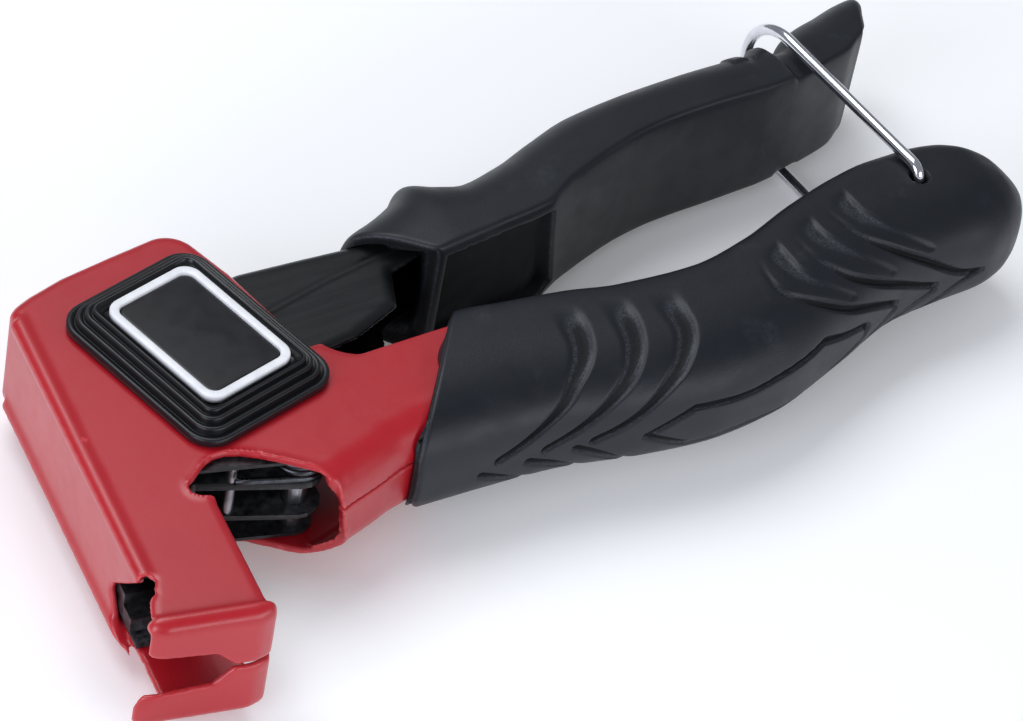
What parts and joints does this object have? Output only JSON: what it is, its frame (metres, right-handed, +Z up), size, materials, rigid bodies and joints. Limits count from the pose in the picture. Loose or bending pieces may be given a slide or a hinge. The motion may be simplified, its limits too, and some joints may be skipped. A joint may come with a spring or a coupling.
{
  "type": "hand squeeze setting gun",
  "caption": "Pliers-style squeeze gun with a folded steel head, forked nose, rubber grips and a wire bail that locks the handles shut.",
  "frame": {"origin": "bottom centre of the part's box, with the tool lying on its flank", "axes": "+Z up, across the head from flank to flank; +X from the nose towards the handle ends; +Y from the fixed handle towards the moving handle"},
  "size_m": [0.2318, 0.1104, 0.0365],
  "materials": {
    "red_paint": "semi-gloss",
    "grip_rubber": "satin moulded",
    "badge_black": "satin gloss",
    "badge_white": "gloss",
    "black_steel": "satin black",
    "zinc_pin": "zinc plated",
    "bail_chrome": "bright"
  },
  "bodies": {
    "root": {"body_shell": "red_paint", "fixed_grip": "grip_rubber", "badge_cover_near": "badge_black", "badge_cover_far": "badge_black", "badge_panel_near": "badge_black", "badge_panel_far": "badge_black", "badge_line_near": "badge_white", "badge_line_far": "badge_white", "pivot_pin": "zinc_pin", "pivot_ring_near": "zinc_pin", "pivot_ring_far": "zinc_pin", "arm_pin": "zinc_pin", "side_plate_near": "zinc_pin", "side_plate_far": "zinc_pin", "bail_bush_near": "zinc_pin", "bail_bush_far": "zinc_pin"},
    "lever": {"lever_channel": "black_steel", "lever_grip": "grip_rubber", "lever_bush": "zinc_pin", "lift_pin": "zinc_pin"},
    "arm": {"draw_arm": "black_steel", "spring_pin": "zinc_pin", "return_spring": "zinc_pin"},
    "puller": {"puller_block": "black_steel", "puller_pin": "zinc_pin"},
    "bail": {"latch_bail": "bail_chrome"}
  },
  "joints": [
    {"name": "handle_squeeze", "type": "hinge", "parent": "root", "child": "lever", "pos_m": [-0.07163, 0.0123, 0.01825], "axis": [0, 0, 1], "range_deg": [-8.5, 0], "stiffness_Nm_per_rad": 1},
    {"name": "draw_arm_turn", "type": "hinge", "parent": "root", "child": "arm", "pos_m": [-0.06513, -0.0172, 0.01825], "axis": [0, 0, 1], "range_deg": [-7, 0]},
    {"name": "puller_slide", "type": "slide", "parent": "root", "child": "puller", "axis": [0.1426, 0.9898, 0], "range_m": [0, 0.0037]},
    {"name": "bail_swing", "type": "hinge", "parent": "root", "child": "bail", "pos_m": [0.09037, -0.0043, 0.01825], "axis": [0, 0, 1], "range_deg": [-46, 0]}
  ],
  "couplings": [
    {"joint": "draw_arm_turn", "follows": "handle_squeeze", "ratio": 0.8},
    {"joint": "puller_slide", "follows": "handle_squeeze", "m_per_rad": -0.02448},
    {"joint": "bail_swing", "follows": "handle_squeeze", "ratio": 5.4}
  ]
}
